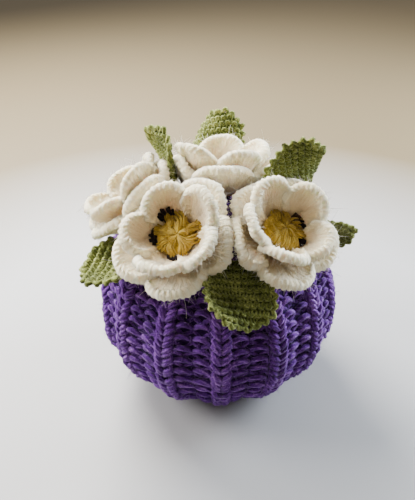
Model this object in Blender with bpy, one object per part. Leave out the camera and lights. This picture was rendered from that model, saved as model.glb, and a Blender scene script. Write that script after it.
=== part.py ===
"""Knitted tea cosy crowned with crocheted flowers and knitted leaves.

Metres, +Z up. The front faces -Y, the spout side is -X and the handle side is +X.
The cover rests on its hem at Z = 0.
"""
import math
from collections import namedtuple

import bmesh
import bpy
from mathutils import Matrix, Quaternion, Vector

# Knitted cover
HEM_RADIUS = 0.045
FULL_RADIUS = 0.083
FULL_HEIGHT = 0.062
CROWN_HEIGHT = 0.134
CROWN_FULLNESS = 2.2
HEM_CURVE = 2.4
GATHER_RADIUS = 0.003
WALL = 0.0042
RIB_COUNT = 14
RIB_RAISE = 0.0030
RIB_SHARPNESS = 1.5
RIB_FADE = 0.45
RIB_TURN = math.radians(2.0)
COLUMNS_PER_RIB = 6
LOWER_ROWS = 8
UPPER_ROWS = 9
SEAM_GAP = 0.0003

# Openings in the two side seams
Opening = namedtuple("Opening", "low high half_width")
SPOUT_OPENING = Opening(low=0.030, high=0.092, half_width=0.022)
HANDLE_OPENING = Opening(low=0.024, high=0.104, half_width=0.011)
PULL_START = 0.45

# Crocheted flowers
PETALS = 5
STEPS_PER_PETAL = 7
PETAL_RINGS = (0.12, 0.36, 0.70, 1.0)
PETAL_THICKNESS = 0.0048
CLEFT = 0.32
CLEFT_SHARPNESS = 3.2
SPOON_LEVEL = 0.4
RIM_ROUNDING = 0.8
LAYER_GAP = 0.0004
CENTRE_RADIUS = 0.0130
CENTRE_RISE = 0.0042
CENTRE_EDGE = 0.0035
CENTRE_GAP = 0.0009
CENTRE_STEPS = 16
CENTRE_UNDER = (0.5, 1.0)
CENTRE_OVER = (0.92, 0.70, 0.40)

Layer = namedtuple("Layer", "length end_angle spoon turn")
OUTER = Layer(length=0.0415, end_angle=None, spoon=0.0030, turn=None)
INNER = Layer(length=0.0380, end_angle=math.radians(86), spoon=0.0030, turn=0.0)
UNEVEN = 0.05

# Where each flower is sewn: its foot on the crown, which way it faces and how far it is turned, its size,
# how steeply its outer petals stand up, and how far they are shifted round, in petals
Flower = namedtuple("Flower", "name x y z facing rise turn size opened shift")
FLOWERS = (
    Flower("a", -0.0211, -0.0399, 0.1279, -22, 54, 18, 0.98, 44, 0.28),
    Flower("b", 0.0345, -0.0320, 0.1260, 36, 57, -18, 0.98, 44, 0.18),
    Flower("c", 0.0010, 0.0150, 0.1348, 178, 75, 18, 1.14, 58, -0.36),
    Flower("d", -0.0467, 0.0000, 0.1268, -100, 50, 20, 1.00, 52, -0.17),
)
FLOWER_MIDDLE = 0.014
PRESS_REACH = 0.004
OUTER_KEEP = 0.0028
INNER_KEEP = 0.0080
LEAF_SLOTS = ("bc", "cd")
SLOT_KEEP = 0.0024

# Knitted leaves: the foot at the stem end, the way to the tip, and the leaf's turns in degrees
Leaf = namedtuple("Leaf", "name x y z heading climb roll length width bend fold twist")
LEAF_THICKNESS = 0.0036
LEAF_STEPS = 28
LEAF_SCALLOPS = 14
LEAF_SCALLOP_DEPTH = 0.0012
LEAF_RINGS = (0.45, 0.82, 1.0)
LEAF_STEM_TAPER = 0.35
LEAVES = (
    Leaf("front", 0.0109, -0.0539, 0.1241, 3, -30, -8, 0.038, 0.040, 6, 13, -36),
    Leaf("left", -0.0449, -0.0449, 0.1175, -102, -23, -4, 0.036, 0.039, -33, 11, -8),
    Leaf("left_up", -0.0269, 0.0174, 0.1329, -71, 80, 178, 0.047, 0.032, -7, 9, 25),
    Leaf("back_up", 0.0002, 0.0573, 0.1207, 196, 66, 152, 0.052, 0.040, -30, 22, -32),
    Leaf("right_up", 0.0278, -0.0089, 0.1471, 121, 13, 87, 0.046, 0.043, 2, 2, 36),
    Leaf("right", 0.0478, 0.0081, 0.1252, 97, -27, -11, 0.049, 0.035, 21, 19, -47),
)

# The body's axis stands off the origin so that the whole object is centred over it
AXIS_X = -0.0034
AXIS_Y = -0.0018

SHARP_ANGLE = math.radians(50)

PURPLE = (0.080, 0.030, 0.190, 1.0)
CREAM = (0.870, 0.820, 0.680, 1.0)
YELLOW = (0.560, 0.400, 0.060, 1.0)
GREEN = (0.190, 0.230, 0.050, 1.0)


def clear_scene():
    """Remove whatever the scene held."""
    for item in list(bpy.data.objects):
        bpy.data.objects.remove(item, do_unlink=True)


def wool(name, colour):
    """A matt yarn material."""
    material = bpy.data.materials.new(name)
    material.use_nodes = True
    shader = material.node_tree.nodes["Principled BSDF"]
    shader.inputs["Base Color"].default_value = colour
    shader.inputs["Roughness"].default_value = 0.95
    shader.inputs["Metallic"].default_value = 0.0
    return material


def smoothstep(value):
    """A soft step from 0 to 1."""
    value = min(max(value, 0.0), 1.0)
    return value * value * (3.0 - 2.0 * value)


def compass(facing, rise):
    """A unit vector turned `facing` degrees from the front toward +X and raised by `rise` degrees."""
    turn = math.radians(facing)
    climb = math.radians(rise)
    level = math.cos(climb)
    return Vector((math.sin(turn) * level, -math.cos(turn) * level, math.sin(climb)))


def add_object(name, mesh_data, material):
    """Wrap a bmesh as a smooth-shaded object standing over the part's origin."""
    bmesh.ops.recalc_face_normals(mesh_data, faces=mesh_data.faces)
    mesh = bpy.data.meshes.new(name)
    mesh_data.to_mesh(mesh)
    mesh_data.free()
    mesh.materials.append(material)
    mesh.shade_smooth()
    mesh.set_sharp_from_angle(angle=SHARP_ANGLE)
    item = bpy.data.objects.new(name, mesh)
    item.location = (AXIS_X, AXIS_Y, 0.0)
    bpy.context.scene.collection.objects.link(item)
    return item


def add_grid(mesh_data, rows, closed):
    """Join rows of vertices with quads; a closed row meets its own start."""
    for lower, upper in zip(rows, rows[1:]):
        count = len(lower)
        for index in range(count if closed else count - 1):
            after = (index + 1) % count
            mesh_data.faces.new((lower[index], lower[after], upper[after], upper[index]))


def profile_stations():
    """Radius, height and outward slope of the cover's outside, from the hem to the gather."""
    stations = []
    for row in range(LOWER_ROWS):
        height = FULL_HEIGHT * row / LOWER_ROWS
        drop = (FULL_HEIGHT - height) / FULL_HEIGHT
        radius = FULL_RADIUS - (FULL_RADIUS - HEM_RADIUS) * drop ** HEM_CURVE
        lean = (FULL_RADIUS - HEM_RADIUS) * HEM_CURVE * drop ** (HEM_CURVE - 1.0) / FULL_HEIGHT
        slope = Vector((1.0, 0.0, -lean)).normalized() if row else Vector((1.0, 0.0, 0.0))
        stations.append((radius, height, slope))
    dome = CROWN_HEIGHT - FULL_HEIGHT
    power = 2.0 / CROWN_FULLNESS
    last = math.acos((GATHER_RADIUS / FULL_RADIUS) ** (1.0 / power))
    for row in range(UPPER_ROWS + 1):
        angle = last * row / UPPER_ROWS
        across = math.cos(angle)
        up = math.sin(angle)
        radius = FULL_RADIUS * across ** power
        height = FULL_HEIGHT + dome * up ** power
        slope = Vector((dome * across ** (2.0 - power), 0.0, FULL_RADIUS * up ** (2.0 - power))).normalized()
        stations.append((radius, height, slope))
    return stations


def opening_half_width(opening, height):
    """Half the width of a side opening at one height: widest halfway up, closed at both ends."""
    middle = (opening.low + opening.high) / 2.0
    reach = (opening.high - opening.low) / 2.0
    away = (height - middle) / reach
    return opening.half_width * max(0.0, 1.0 - away * away)


def rib_height(turn):
    """How far a knitted rib stands out of the valley beside it."""
    wave = 0.5 + 0.5 * math.cos(RIB_COUNT * (turn - RIB_TURN))
    return RIB_RAISE * wave ** RIB_SHARPNESS


def panel_rows(side, raised):
    """Rows of points over half of the cover: its ribbed outside, or its plain inside."""
    rows = []
    columns = RIB_COUNT * COLUMNS_PER_RIB // 2
    for radius, height, slope in profile_stations():
        spout_pull = opening_half_width(SPOUT_OPENING, height) / radius
        handle_pull = opening_half_width(HANDLE_OPENING, height) / radius
        fade = smoothstep(radius / (FULL_RADIUS * RIB_FADE))
        row = []
        for column in range(columns + 1):
            across = 2.0 * column / columns - 1.0
            plain_turn = across * math.pi / 2.0
            near_spout = smoothstep((-across - PULL_START) / (1.0 - PULL_START))
            near_handle = smoothstep((across - PULL_START) / (1.0 - PULL_START))
            turn = plain_turn + near_spout * spout_pull - near_handle * handle_pull
            depth = -RIB_RAISE
            if raised:
                depth += rib_height(plain_turn if side < 0 else math.pi - plain_turn) * fade
            else:
                depth -= WALL
            out = radius + slope.x * depth
            point = Vector((out * math.sin(turn), side * out * math.cos(turn), height + slope.z * depth))
            if abs(point.y) < SEAM_GAP / 2.0:
                point.y = side * SEAM_GAP / 2.0
            row.append(point)
        rows.append(row)
    return rows


def knitted_panel(name, side, material):
    """One knitted half of the cover, a single cloth from the hem to the gather."""
    cloth = bmesh.new()
    outside = [[cloth.verts.new(point) for point in row] for row in panel_rows(side, True)]
    inside = [[cloth.verts.new(point) for point in row] for row in panel_rows(side, False)]
    add_grid(cloth, outside, closed=False)
    add_grid(cloth, inside, closed=False)
    add_grid(cloth, [outside[0], inside[0]], closed=False)
    add_grid(cloth, [outside[-1], inside[-1]], closed=False)
    for edge in (0, -1):
        outer_edge = [row[edge] for row in outside]
        inner_edge = [row[edge] for row in inside]
        add_grid(cloth, [outer_edge, inner_edge], closed=False)
    return add_object(name, cloth, material)


def cup_point(layer, reach, inward=0.0):
    """Distance from the flower's axis and height above its foot, `reach` along a curved petal.

    `inward` steps off the curve toward the inside of the cup.
    """
    curve = layer.end_angle / layer.length
    angle = reach * curve
    out = math.sin(angle) / curve - inward * math.sin(angle)
    return out, (1.0 - math.cos(angle)) / curve + inward * math.cos(angle)


def petal_reach(across, turn):
    """Share of a petal's full length at `across`, from -1 to 1 over the petal's width."""
    return (1.0 - CLEFT * abs(across) ** CLEFT_SHARPNESS) * (1.0 + UNEVEN * math.sin(2.0 * turn))


def flower_frame(flower):
    """The flower's own axes: +Z faces out of the cup and the origin is its foot."""
    facing = compass(flower.facing, flower.rise)
    frame = facing.to_track_quat("Z", "Y").to_matrix().to_4x4()
    frame.translation = Vector((flower.x, flower.y, flower.z))
    return frame @ Matrix.Rotation(math.radians(flower.turn), 4, "Z")


def sized(layer, flower):
    """The same round of petals for a larger or smaller flower, and as far open as that flower is."""
    fitted = layer._replace(length=layer.length * flower.size)
    if layer is OUTER:
        fitted = fitted._replace(end_angle=math.radians(flower.opened), turn=flower.shift)
    return fitted


def flower_middle(flower):
    """A point in the thick of the flower, used to tell its side of a shared boundary."""
    return flower_frame(flower) @ Vector((0.0, 0.0, FLOWER_MIDDLE))


def press(point, flower, keep):
    """Flatten a petal softly where it would push into the flower beside it."""
    own = flower_middle(flower)
    for other in FLOWERS:
        if other is flower:
            continue
        away = own - flower_middle(other)
        halfway = own - away / 2.0
        direction = away.normalized()
        distance = (point - halfway).dot(direction)
        pair = "".join(sorted(flower.name + other.name))
        limit = keep + (SLOT_KEEP if pair in LEAF_SLOTS else 0.0)
        start = limit + PRESS_REACH
        if distance < start:
            pressed = limit + PRESS_REACH * math.exp((distance - start) / PRESS_REACH)
            point = point + direction * (pressed - distance)
    return point


def petal_layer(flower, layer, lift, keep, name, material):
    """One round of petals, worked as a single thick cloth with clefts between the petals."""
    steps = PETALS * STEPS_PER_PETAL
    frame = flower_frame(flower)
    layer = sized(layer, flower)
    rows = []
    for ring in PETAL_RINGS:
        row = []
        for step in range(steps):
            along = step / STEPS_PER_PETAL
            across = 2.0 * (along - math.floor(along)) - 1.0
            turn = 2.0 * math.pi * (along + layer.turn) / PETALS
            reach = layer.length * ring * (1.0 + (petal_reach(across, turn) - 1.0) * ring)
            inward = layer.spoon * ring * ring * (across * across - SPOON_LEVEL)
            out, high = cup_point(layer, reach, inward)
            point = frame @ Vector((out * math.cos(turn), out * math.sin(turn), high + lift))
            row.append(press(point, flower, keep))
        rows.append(row)
    axis = frame.to_3x3() @ Vector((0.0, 0.0, 1.0))
    foot = frame @ Vector((0.0, 0.0, lift))
    return thick_cloth(name, rows, foot, axis, PETAL_THICKNESS, material)


def row_normals(rows, foot, axis):
    """Unit normals of a round cloth given as rings of points about its foot."""
    normals = []
    for index, row in enumerate(rows):
        before = rows[index - 1] if index else [foot] * len(row)
        after = rows[index + 1] if index + 1 < len(rows) else row
        ring = []
        for step, point in enumerate(row):
            along = after[step] - before[step]
            across = row[(step + 1) % len(row)] - row[step - 1]
            normal = along.cross(across).normalized()
            if normal.dot(axis) < 0.0 and index == 0:
                normal.negate()
            ring.append(normal)
        normals.append(ring)
    return normals


def thick_cloth(name, rows, foot, axis, thickness, material):
    """A closed cloth of even thickness on rings of middle points, with a rounded rim."""
    normals = row_normals(rows, foot, axis)
    half = thickness / 2.0
    cloth = bmesh.new()
    faces = []
    for sign in (1.0, -1.0):
        rings = []
        for row, ring in zip(rows, normals):
            rings.append([cloth.verts.new(p + n * half * sign) for p, n in zip(row, ring)])
        middle = cloth.verts.new(foot + axis * half * sign)
        first = rings[0]
        for step in range(len(first)):
            cloth.faces.new((middle, first[step], first[(step + 1) % len(first)]))
        add_grid(cloth, rings, closed=True)
        faces.append(rings[-1])
    rim = []
    for step, point in enumerate(rows[-1]):
        outward = (point - rows[-2][step]).normalized()
        rim.append(cloth.verts.new(point + outward * half * RIM_ROUNDING))
    add_grid(cloth, [faces[0], rim, faces[1]], closed=True)
    return add_object(name, cloth, material)


def ring_of_points(mesh_data, frame, out, high):
    """One level ring of the centre's points about the flower's axis."""
    ring = []
    for step in range(CENTRE_STEPS):
        turn = 2.0 * math.pi * step / CENTRE_STEPS
        ring.append(mesh_data.verts.new(frame @ Vector((out * math.cos(turn), out * math.sin(turn), high))))
    return ring


def flower_centre(flower, lift, name, material):
    """The domed disc that fills the bottom of the inner cup."""
    frame = flower_frame(flower)
    cup = sized(INNER, flower)
    base = lift + PETAL_THICKNESS / 2.0 + CENTRE_GAP
    disc = bmesh.new()
    under = []
    over = []
    for share in CENTRE_UNDER:
        reach = CENTRE_RADIUS * share
        out, high = cup_point(cup, reach, PETAL_THICKNESS / 2.0 + CENTRE_GAP)
        under.append(ring_of_points(disc, frame, out, lift + high))
    for share in CENTRE_OVER:
        rise = CENTRE_RISE * math.sqrt(1.0 - share * share)
        over.append(ring_of_points(disc, frame, CENTRE_RADIUS * share, base + CENTRE_EDGE + rise))
    add_grid(disc, under + over, closed=True)
    for ring, height in ((under[0], base), (over[-1], base + CENTRE_EDGE + CENTRE_RISE)):
        tip = disc.verts.new(frame @ Vector((0.0, 0.0, height)))
        for step in range(CENTRE_STEPS):
            disc.faces.new((tip, ring[step], ring[(step + 1) % CENTRE_STEPS]))
    return add_object(name, disc, material)


def leaf_outline(turn):
    """Along and across shares of a broad leaf's edge, 0 at the stem end and 1 at the tip."""
    along = 0.5 - 0.5 * math.cos(turn)
    across = math.sin(turn) * (1.0 - LEAF_STEM_TAPER * math.cos(turn))
    return along, across / 2.0


def leaf_point(leaf, frame, along, across):
    """A point of the leaf's middle surface, bent along its length and folded across it."""
    bend = math.radians(leaf.bend)
    length = along * leaf.length
    if abs(bend) > 0.001:
        curve = bend / leaf.length
        forward = math.sin(length * curve) / curve
        drop = (1.0 - math.cos(length * curve)) / curve
    else:
        forward = length
        drop = 0.0
    side = across * leaf.width
    fold = math.radians(leaf.fold)
    turned = abs(2.0 * across) * fold
    normal = Vector((math.sin(along * bend), 0.0, math.cos(along * bend)))
    spine = Vector((math.cos(along * bend), 0.0, -math.sin(along * bend)))
    offset = Vector((0.0, side * math.cos(turned), 0.0)) + normal * abs(side) * math.sin(turned)
    offset.rotate(Quaternion(spine, math.radians(leaf.twist) * along ** 3))
    return frame @ (Vector((forward, 0.0, -drop)) + offset)


def leaf_frame(leaf):
    """The leaf's own axes: +X runs from the foot to the tip and +Z is its upper face."""
    heading = compass(leaf.heading, leaf.climb)
    level = heading.cross(Vector((0.0, 0.0, 1.0))).normalized()
    face = level.cross(heading).normalized()
    frame = Matrix((heading, face.cross(heading), face)).transposed().to_4x4()
    frame.translation = Vector((leaf.x, leaf.y, leaf.z))
    return frame @ Matrix.Rotation(math.radians(leaf.roll), 4, "X")


def knitted_leaf(leaf, material):
    """A broad garter-stitch leaf with a small scallop at each edge stitch."""
    frame = leaf_frame(leaf)
    rows = []
    for ring in LEAF_RINGS:
        row = []
        for step in range(LEAF_STEPS):
            turn = 2.0 * math.pi * step / LEAF_STEPS
            along, across = leaf_outline(turn)
            grow = ring
            if ring == 1.0:
                grow += LEAF_SCALLOP_DEPTH * math.cos(LEAF_SCALLOPS * turn) / (leaf.width / 2.0)
            row.append(leaf_point(leaf, frame, 0.5 + (along - 0.5) * grow, across * grow))
        rows.append(row)
    foot = leaf_point(leaf, frame, 0.5, 0.0)
    axis = (rows[0][0] - foot).cross(rows[0][LEAF_STEPS // 4] - foot).normalized()
    return thick_cloth("leaf_" + leaf.name, rows, foot, axis, LEAF_THICKNESS, material)


def build():
    clear_scene()
    purple = wool("purple_yarn", PURPLE)
    cream = wool("cream_yarn", CREAM)
    yellow = wool("yellow_yarn", YELLOW)
    green = wool("green_yarn", GREEN)
    knitted_panel("cover_front", -1.0, purple)
    knitted_panel("cover_back", 1.0, purple)
    inner_lift = PETAL_THICKNESS + LAYER_GAP
    for flower in FLOWERS:
        stem = "flower_" + flower.name
        petal_layer(flower, OUTER, 0.0, OUTER_KEEP, stem + "_outer_petals", cream)
        petal_layer(flower, INNER, inner_lift, INNER_KEEP, stem + "_inner_petals", cream)
        flower_centre(flower, inner_lift, stem + "_centre", yellow)
    for leaf in LEAVES:
        knitted_leaf(leaf, green)


build()
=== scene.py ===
"""Looks of the knitted tea cosy: yarn-level knitting, crocheted flowers and garter-stitch leaves.

Metres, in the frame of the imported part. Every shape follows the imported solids' own named sizes.
"""
import math
from collections import namedtuple

import bmesh
import bpy
import numpy as np
from mathutils import Matrix, Vector


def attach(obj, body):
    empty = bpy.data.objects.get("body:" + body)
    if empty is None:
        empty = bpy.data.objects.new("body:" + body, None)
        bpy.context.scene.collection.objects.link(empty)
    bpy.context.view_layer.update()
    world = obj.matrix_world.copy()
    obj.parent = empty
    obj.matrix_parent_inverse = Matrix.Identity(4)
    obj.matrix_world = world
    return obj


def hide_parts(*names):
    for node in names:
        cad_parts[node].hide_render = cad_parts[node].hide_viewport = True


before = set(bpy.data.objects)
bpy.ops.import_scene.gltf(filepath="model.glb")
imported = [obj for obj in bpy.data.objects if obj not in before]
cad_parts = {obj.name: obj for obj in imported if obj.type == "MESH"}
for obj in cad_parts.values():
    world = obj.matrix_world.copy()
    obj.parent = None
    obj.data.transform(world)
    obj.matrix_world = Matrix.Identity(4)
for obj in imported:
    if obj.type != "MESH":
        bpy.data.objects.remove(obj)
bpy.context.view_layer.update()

# The solids' own sizes
HEM_RADIUS = 0.045
FULL_RADIUS = 0.083
FULL_HEIGHT = 0.062
CROWN_HEIGHT = 0.134
CROWN_FULLNESS = 2.2
HEM_CURVE = 2.4
GATHER_RADIUS = 0.003
RIB_COUNT = 14
RIB_RAISE = 0.0030
RIB_SHARPNESS = 1.5
RIB_FADE = 0.45
RIB_TURN = math.radians(2.0)
Opening = namedtuple("Opening", "low high half_width")
SPOUT_OPENING = Opening(low=0.030, high=0.092, half_width=0.022)
HANDLE_OPENING = Opening(low=0.024, high=0.104, half_width=0.011)
PULL_START = 0.45
PETALS = 5
PETAL_THICKNESS = 0.0048
CLEFT = 0.32
CLEFT_SHARPNESS = 3.2
SPOON_LEVEL = 0.4
LAYER_GAP = 0.0004
CENTRE_RADIUS = 0.0130
CENTRE_RISE = 0.0042
CENTRE_EDGE = 0.0035
CENTRE_GAP = 0.0009
Layer = namedtuple("Layer", "length end_angle spoon turn curl")
OUTER = Layer(length=0.0415, end_angle=None, spoon=0.0030, turn=None, curl=0.0)
INNER = Layer(length=0.0380, end_angle=math.radians(86), spoon=0.0030, turn=0.0, curl=0.0012)
UNEVEN = 0.05
Flower = namedtuple("Flower", "name x y z facing rise turn size opened shift")
FLOWERS = (
    Flower("a", -0.0211, -0.0399, 0.1279, -22, 54, 18, 0.98, 44, 0.28),
    Flower("b", 0.0345, -0.0320, 0.1260, 36, 57, -18, 0.98, 44, 0.18),
    Flower("c", 0.0010, 0.0150, 0.1348, 178, 75, 18, 1.14, 58, -0.36),
    Flower("d", -0.0467, 0.0000, 0.1268, -100, 50, 20, 1.00, 52, -0.17),
)
FLOWER_MIDDLE = 0.014
PRESS_REACH = 0.004
OUTER_KEEP = 0.0028
INNER_KEEP = 0.0080
LEAF_SLOTS = ("bc", "cd")
SLOT_KEEP = 0.0024
Leaf = namedtuple("Leaf", "name x y z heading climb roll length width bend fold twist")
LEAF_STEM_TAPER = 0.35
LEAVES = (
    Leaf("front", 0.0109, -0.0539, 0.1241, 3, -30, -8, 0.038, 0.040, 6, 13, -36),
    Leaf("left", -0.0449, -0.0449, 0.1175, -102, -23, -4, 0.036, 0.039, -33, 11, -8),
    Leaf("left_up", -0.0269, 0.0174, 0.1329, -71, 80, 178, 0.047, 0.032, -7, 9, 25),
    Leaf("back_up", 0.0002, 0.0573, 0.1207, 196, 66, 152, 0.052, 0.040, -30, 22, -32),
    Leaf("right_up", 0.0278, -0.0089, 0.1471, 121, 13, 87, 0.046, 0.043, 2, 2, 36),
    Leaf("right", 0.0478, 0.0081, 0.1252, 97, -27, -11, 0.049, 0.035, 21, 19, -47),
)
AXIS = np.array((-0.0034, -0.0018, 0.0))

# Knitting of the cover
COURSES = 46
YARN_RADIUS = 0.00175
YARN_TWIST = 0.0085
KNIT_LEVEL = -0.0054
STITCH_DEPTH = 0.00190
V_WIDTH_SHARE = 0.34
GARTER_LIFT = 0.78
GARTER_SKEW = 0.85
V_LIFT = 1.10
V_LEAN = 0.31
V_PAIRING = 0.13
FIRST_COURSE = 0.0050
LOWEST_YARN = 0.0030
CROWN_LIMIT = 0.0006
SEAM_INSET = 0.012
THINNING_RADIUS = 0.030
FEWER_STITCHES_RADIUS = 0.046
FEWEST_STITCHES_RADIUS = 0.024
BACKING_OUT = -0.0003
BACKING_IN = -0.0017
BACKING_GRID = (40, 99)
COVER_HAIRS = 2600
HAIR_LOWEST = 0.0005
EDGE_INSET = 0.016
EDGE_HEIGHT = 0.0032
EDGE_STITCH = 0.0052
EDGE_YARN = 0.00175

random = np.random.default_rng(7)


def unit(vectors):
    """Vectors scaled to length one."""
    return vectors / np.maximum(np.linalg.norm(vectors, axis=-1, keepdims=True), 1e-12)


def smoothstep(value):
    value = np.clip(value, 0.0, 1.0)
    return value * value * (3.0 - 2.0 * value)


class Yarns:
    """Gathers tubes and skins into one mesh, with a yarn coordinate on each face corner."""

    def __init__(self):
        self.points = []
        self.faces = []
        self.coords = []
        self.count = 0

    def tube(self, path, radius, normal, sides=6, twist=YARN_TWIST):
        """A closed tube along a path; `normal` keeps its seam away from the surface's outside."""
        path = np.asarray(path, float)
        count = len(path)
        radius = np.broadcast_to(radius, (count,))
        tangent = unit(np.gradient(path, axis=0))
        across = unit(np.cross(tangent, normal))
        up = np.cross(across, tangent)
        angle = 2.0 * np.pi * np.arange(sides) / sides
        ring = np.cos(angle)[None, :, None] * across[:, None, :] + np.sin(angle)[None, :, None] * up[:, None, :]
        points = path[:, None, :] + ring * radius[:, None, None]
        steps = np.linalg.norm(np.diff(path, axis=0), axis=1)
        turns = np.concatenate(([0.0], np.cumsum(steps))) / twist
        i, k = np.meshgrid(np.arange(count - 1), np.arange(sides), indexing="ij")
        after = (k + 1) % sides
        quads = np.stack((i * sides + k, (i + 1) * sides + k, (i + 1) * sides + after, i * sides + after), -1)
        low, high = k / sides, (k + 1) / sides
        coords = np.stack((turns[i], low, turns[i + 1], low, turns[i + 1], high, turns[i], high), -1)
        self.points.append(points.reshape(-1, 3))
        self.faces.extend((quads.reshape(-1, 4) + self.count).tolist())
        self.coords.append(coords.reshape(-1, 2))
        start = list(range(self.count, self.count + sides))
        end = list(range(self.count + count * sides - 1, self.count + (count - 1) * sides - 1, -1))
        for cap, turn in ((start, turns[0]), (end, turns[-1])):
            self.faces.append(cap)
            self.coords.append(np.column_stack((np.full(sides, turn), np.arange(sides) / sides)))
        self.count += count * sides

    def pillow(self, upper, lower, u, v):
        """A closed cloth from two grids of points that share their outermost rows and columns."""
        rows, columns = upper.shape[:2]
        index = np.arange(rows * columns).reshape(rows, columns)
        other = index + rows * columns
        other[0], other[-1] = index[0], index[-1]
        other[:, 0], other[:, -1] = index[:, 0], index[:, -1]
        uv = np.stack((u, v), -1)
        for grid, step in ((index, 1), (other, -1)):
            quads = np.stack((grid[:-1, :-1], grid[:-1, 1:], grid[1:, 1:], grid[1:, :-1]), -1)
            corners = np.stack((uv[:-1, :-1], uv[:-1, 1:], uv[1:, 1:], uv[1:, :-1]), -2)
            self.faces.extend((quads.reshape(-1, 4)[:, ::step] + self.count).tolist())
            self.coords.append(corners.reshape(-1, 4, 2)[:, ::step].reshape(-1, 2))
        self.points.append(np.concatenate((upper.reshape(-1, 3), lower.reshape(-1, 3))))
        self.count += 2 * rows * columns

    def fan(self, upper, lower, u, v, rim):
        """A closed cloth from two sets of rings that share the outer ring; each closes on its middle."""
        rings, count = upper.shape[:2]
        index = np.arange(rings * count).reshape(rings, count)
        other = index + rings * count
        other[0] = index[0]
        upper = upper.copy()
        upper[0] = rim
        after = np.roll(np.arange(count), -1)
        uv = np.stack((u, v), -1)
        for grid, step in ((index, 1), (other, -1)):
            quads = np.stack((grid[:-1], grid[1:], grid[1:][:, after], grid[:-1][:, after]), -1)
            corners = np.stack((uv[:-1], uv[1:], uv[1:][:, after], uv[:-1][:, after]), -2)
            self.faces.extend((quads.reshape(-1, 4)[:, ::step] + self.count).tolist())
            self.coords.append(corners.reshape(-1, 4, 2)[:, ::step].reshape(-1, 2))
        base = self.count + 2 * rings * count
        for offset, grid, step in ((0, index, 1), (1, other, -1)):
            last = grid[-1] + self.count
            tris = np.stack((last, np.full(count, base + offset), last[after]), -1)
            corners = np.stack((uv[-1], np.broadcast_to(uv[-1].mean(axis=0), (count, 2)), uv[-1][after]), -2)
            self.faces.extend(tris[:, ::step].tolist())
            self.coords.append(corners[:, ::step].reshape(-1, 2))
        tips = np.stack((upper[-1].mean(axis=0), lower[-1].mean(axis=0)))
        self.points.append(np.concatenate((upper.reshape(-1, 3), lower.reshape(-1, 3), tips)))
        self.count = base + 2

    def finish(self, name, material, slot):
        """The gathered mesh as an object that rides on the cosy."""
        mesh = bpy.data.meshes.new(name)
        mesh.from_pydata(np.concatenate(self.points), [], self.faces)
        layer = mesh.uv_layers.new(name="yarn")
        layer.data.foreach_set("uv", np.concatenate(self.coords).astype(np.float32).ravel())
        mesh.materials.append(material)
        mesh.shade_smooth()
        loose = np.ones(len(mesh.vertices), bool)
        used = np.zeros(len(mesh.loops), np.int32)
        mesh.loops.foreach_get("vertex_index", used)
        loose[used] = False
        item = bpy.data.objects.new(name, mesh)
        bpy.context.scene.collection.objects.link(item)
        if loose.any():
            drop_points(mesh, loose)
        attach(item, "root")
        return item


def drop_points(mesh, loose):
    """Delete the vertices that no face uses."""
    data = bmesh.new()
    data.from_mesh(mesh)
    data.verts.ensure_lookup_table()
    bmesh.ops.delete(data, geom=[data.verts[i] for i in np.flatnonzero(loose)], context="VERTS")
    data.to_mesh(mesh)
    data.free()


# Materials

def linear(red, green, blue):
    """A colour given as it shows on screen, 0 to 255, in the linear values that a shader takes."""
    shares = np.array((red, green, blue)) / 255.0
    low = shares / 12.92
    high = ((shares + 0.055) / 1.055) ** 2.4
    return (*np.where(shares <= 0.04045, low, high), 1.0)


class Shader:
    """Short calls for making and joining a material's nodes."""

    def __init__(self, name):
        self.material = bpy.data.materials.new(name)
        self.material.use_nodes = True
        self.tree = self.material.node_tree
        self.surface = self.tree.nodes["Principled BSDF"]

    def node(self, kind, **settings):
        made = self.tree.nodes.new(kind)
        for key, value in settings.items():
            setattr(made, key, value)
        return made

    def join(self, source, target):
        self.tree.links.new(source, target)

    def math(self, operation, first, second=None):
        made = self.node("ShaderNodeMath", operation=operation)
        for socket, value in zip(made.inputs, (first, second)):
            if isinstance(value, (int, float)):
                socket.default_value = value
            elif value is not None:
                self.join(value, socket)
        return made.outputs[0]

    def total(self, *parts):
        """The sum of several values, each times its weight."""
        made = self.math("MULTIPLY", *parts[0])
        for value, weight in parts[1:]:
            made = self.math("ADD", made, self.math("MULTIPLY", value, weight))
        return made

    def places(self):
        """The object's own coordinates, and the two yarn coordinates."""
        place = self.node("ShaderNodeTexCoord").outputs["Object"]
        split = self.node("ShaderNodeSeparateXYZ")
        self.join(self.node("ShaderNodeUVMap", uv_map="yarn").outputs["UV"], split.inputs[0])
        return place, split.outputs["X"], split.outputs["Y"]

    def streaks(self, first, first_scale, second, second_scale):
        """Fine strands: noise drawn out by a different scale along each yarn coordinate."""
        made = self.node("ShaderNodeCombineXYZ")
        self.join(self.math("MULTIPLY", first, first_scale), made.inputs["X"])
        self.join(self.math("MULTIPLY", second, second_scale), made.inputs["Y"])
        return self.noise(made.outputs[0], 1.0, detail=3.0, roughness=0.7)

    def noise(self, vector, scale, detail=2.0, roughness=0.55):
        made = self.node("ShaderNodeTexNoise")
        made.inputs["Scale"].default_value = scale
        made.inputs["Detail"].default_value = detail
        made.inputs["Roughness"].default_value = roughness
        self.join(vector, made.inputs["Vector"])
        return made.outputs["Fac"]

    def ramp(self, share, stops):
        made = self.node("ShaderNodeValToRGB")
        ramp = made.color_ramp
        while len(ramp.elements) < len(stops):
            ramp.elements.new(0.5)
        for element, (place, colour) in zip(ramp.elements, stops):
            element.position = place
            element.color = linear(*colour)
        self.join(share, made.inputs["Fac"])
        return made.outputs["Color"]

    def bump(self, height, distance, strength=1.0, under=None):
        made = self.node("ShaderNodeBump")
        made.inputs["Distance"].default_value = distance
        made.inputs["Strength"].default_value = strength
        self.join(height, made.inputs["Height"])
        if under is not None:
            self.join(under, made.inputs["Normal"])
        return made.outputs["Normal"]


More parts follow.
